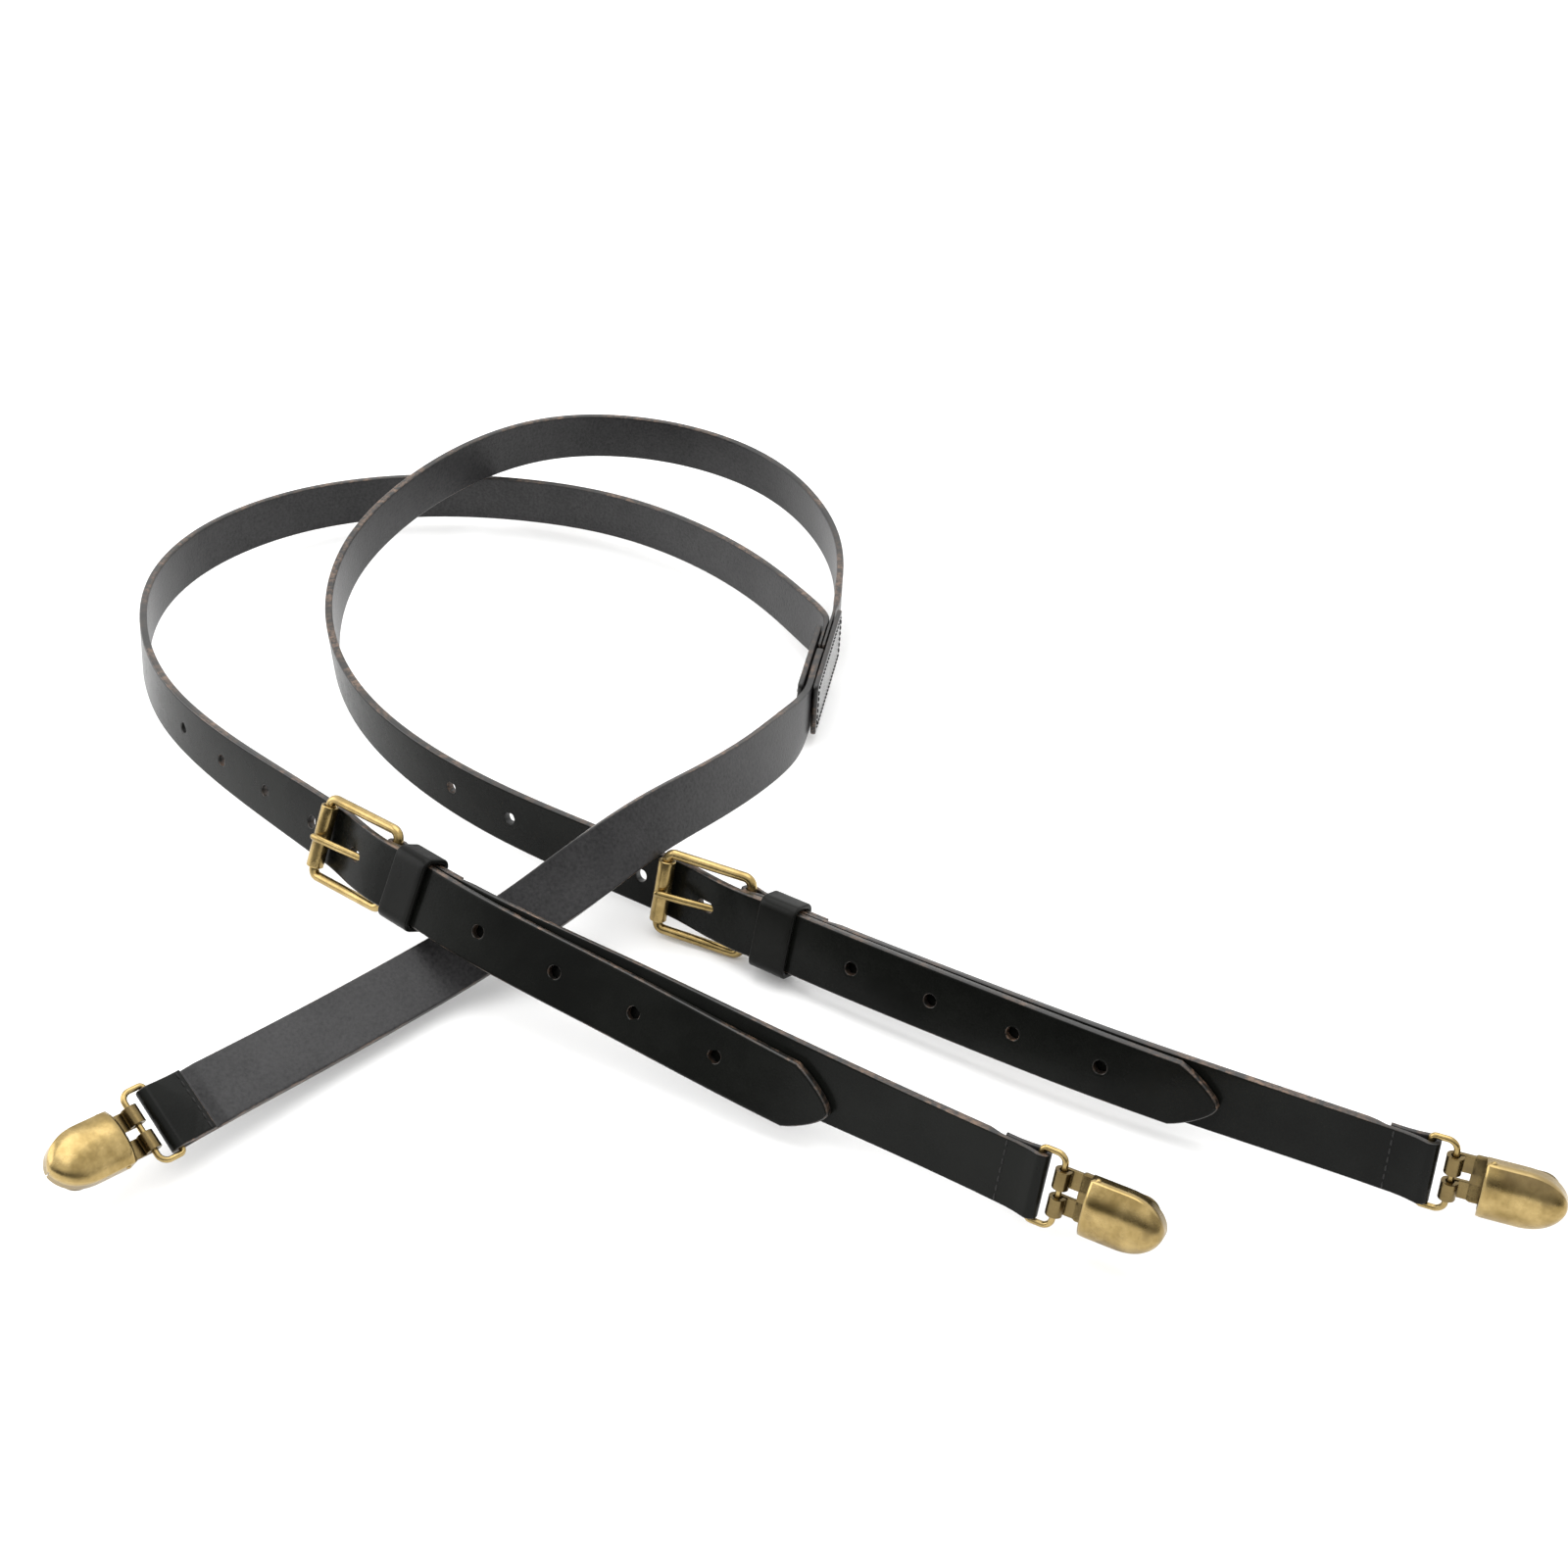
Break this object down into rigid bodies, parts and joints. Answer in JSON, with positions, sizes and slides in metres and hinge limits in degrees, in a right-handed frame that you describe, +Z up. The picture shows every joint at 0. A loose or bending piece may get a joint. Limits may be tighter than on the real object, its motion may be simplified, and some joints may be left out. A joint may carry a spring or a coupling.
{
  "type": "leather suspenders",
  "caption": "Leather suspenders with a back patch, two long straps with punched holes and roller buckles, keepers, and lever clips on wire loops at all ends.",
  "frame": {"origin": "the middle of the part's plan outline, on the surface that it lies on", "axes": "+Z up from the surface, the shortest way through the part; the back patch is beyond the origin along +Y and the front clips point along +X"},
  "size_m": [0.4602, 0.4678, 0.0455],
  "materials": {
    "strap_leather": "dark bridle leather, satin waxed grain side and rough matt flesh side",
    "patch_leather": "dark satin leather, stitched round the edge",
    "keeper_leather": "dark satin leather",
    "brass": "aged, brushed, darkened in the hollows",
    "grip_pad": "matt"
  },
  "bodies": {
    "straps": {"back_strap": "strap_leather", "front_strap_left": "strap_leather", "front_strap_right": "strap_leather", "clip_strap_left": "strap_leather", "clip_strap_right": "strap_leather", "back_patch_outer": "patch_leather", "back_patch_inner": "patch_leather"},
    "buckle_left": {"buckle_frame_left": "brass"},
    "roller_left": {"buckle_roller_left": "brass"},
    "prong_left": {"buckle_prong_left": "brass"},
    "keeper_left": {"keeper_left": "keeper_leather"},
    "buckle_right": {"buckle_frame_right": "brass"},
    "roller_right": {"buckle_roller_right": "brass"},
    "prong_right": {"buckle_prong_right": "brass"},
    "keeper_right": {"keeper_right": "keeper_leather"},
    "clip_loop_back": {"clip_wire_back": "brass"},
    "clip_back": {"clip_base_back": "brass", "clip_pin_back": "brass"},
    "cover_back": {"clip_cover_back": "brass", "clip_jaw_back": "brass", "clip_pad_back": "grip_pad"},
    "clip_loop_left": {"clip_wire_left": "brass"},
    "clip_left": {"clip_base_left": "brass", "clip_pin_left": "brass"},
    "cover_left": {"clip_cover_left": "brass", "clip_jaw_left": "brass", "clip_pad_left": "grip_pad"},
    "clip_loop_right": {"clip_wire_right": "brass"},
    "clip_right": {"clip_base_right": "brass", "clip_pin_right": "brass"},
    "cover_right": {"clip_cover_right": "brass", "clip_jaw_right": "brass", "clip_pad_right": "grip_pad"}
  },
  "joints": [
    {"name": "buckle_hinge_left", "type": "hinge", "parent": "straps", "child": "buckle_left", "pos_m": [-0.10149, -0.09333, 0.02931], "axis": [0.2929, 0.3566, 0.8871], "range_deg": [0, 3]},
    {"name": "roller_turn_left", "type": "hinge", "parent": "buckle_left", "child": "roller_left", "pos_m": [-0.12596, -0.07601, 0.03043], "axis": [0.2929, 0.3566, 0.8871], "continuous": true},
    {"name": "prong_hinge_left", "type": "hinge", "parent": "buckle_left", "child": "prong_left", "pos_m": [-0.10149, -0.09333, 0.02931], "axis": [0.2929, 0.3566, 0.8871], "range_deg": [0, 3]},
    {"name": "keeper_slide_left", "type": "slide", "parent": "straps", "child": "keeper_left", "axis": [0.768, -0.6404, -0.0106], "range_m": [-0.001, 0.002]},
    {"name": "buckle_hinge_right", "type": "hinge", "parent": "straps", "child": "buckle_right", "pos_m": [0.01084, -0.09746, 0.01391], "axis": [0.1719, 0.2595, 0.9503], "range_deg": [0, 3]},
    {"name": "roller_turn_right", "type": "hinge", "parent": "buckle_right", "child": "roller_right", "pos_m": [-0.01648, -0.08516, 0.01549], "axis": [0.1719, 0.2595, 0.9503], "continuous": true},
    {"name": "prong_hinge_right", "type": "hinge", "parent": "buckle_right", "child": "prong_right", "pos_m": [0.01084, -0.09746, 0.01391], "axis": [0.1719, 0.2595, 0.9503], "range_deg": [0, 3]},
    {"name": "keeper_slide_right", "type": "slide", "parent": "straps", "child": "keeper_right", "axis": [0.8254, -0.5645, 0.0059], "range_m": [-0.001, 0.002]},
    {"name": "loop_hinge_back", "type": "hinge", "parent": "straps", "child": "clip_loop_back", "pos_m": [-0.1508, -0.18901, 0.01594], "axis": [0.5797, -0.5902, -0.5618], "range_deg": [-30, 30]},
    {"name": "clip_hinge_back", "type": "hinge", "parent": "clip_loop_back", "child": "clip_back", "pos_m": [-0.15524, -0.19433, 0.01695], "axis": [0.5797, -0.5902, -0.5618], "range_deg": [-50, 50]},
    {"name": "cover_lift_back", "type": "hinge", "parent": "clip_back", "child": "cover_back", "pos_m": [-0.1602, -0.20224, 0.02014], "axis": [-0.5797, 0.5902, 0.5618], "range_deg": [0, 90]},
    {"name": "loop_hinge_left", "type": "hinge", "parent": "straps", "child": "clip_loop_left", "pos_m": [0.09008, -0.21366, 0.01642], "axis": [0.1626, 0.2395, 0.9572], "range_deg": [-30, 30]},
    {"name": "clip_hinge_left", "type": "hinge", "parent": "clip_loop_left", "child": "clip_left", "pos_m": [0.09621, -0.21702, 0.01621], "axis": [0.1626, 0.2395, 0.9572], "range_deg": [-50, 50]},
    {"name": "cover_lift_left", "type": "hinge", "parent": "clip_left", "child": "cover_left", "pos_m": [0.10436, -0.22259, 0.01623], "axis": [-0.1626, -0.2395, -0.9572], "range_deg": [0, 90]},
    {"name": "loop_hinge_right", "type": "hinge", "parent": "straps", "child": "clip_loop_right", "pos_m": [0.19609, -0.20908, 0.01682], "axis": [0.0454, 0.1571, 0.9865], "range_deg": [-30, 30]},
    {"name": "clip_hinge_right", "type": "hinge", "parent": "clip_loop_right", "child": "clip_right", "pos_m": [0.20236, -0.21218, 0.01703], "axis": [0.0454, 0.1571, 0.9865], "range_deg": [-50, 50]},
    {"name": "cover_lift_right", "type": "hinge", "parent": "clip_right", "child": "cover_right", "pos_m": [0.21097, -0.21701, 0.0174], "axis": [-0.0454, -0.1571, -0.9865], "range_deg": [0, 90]}
  ]
}
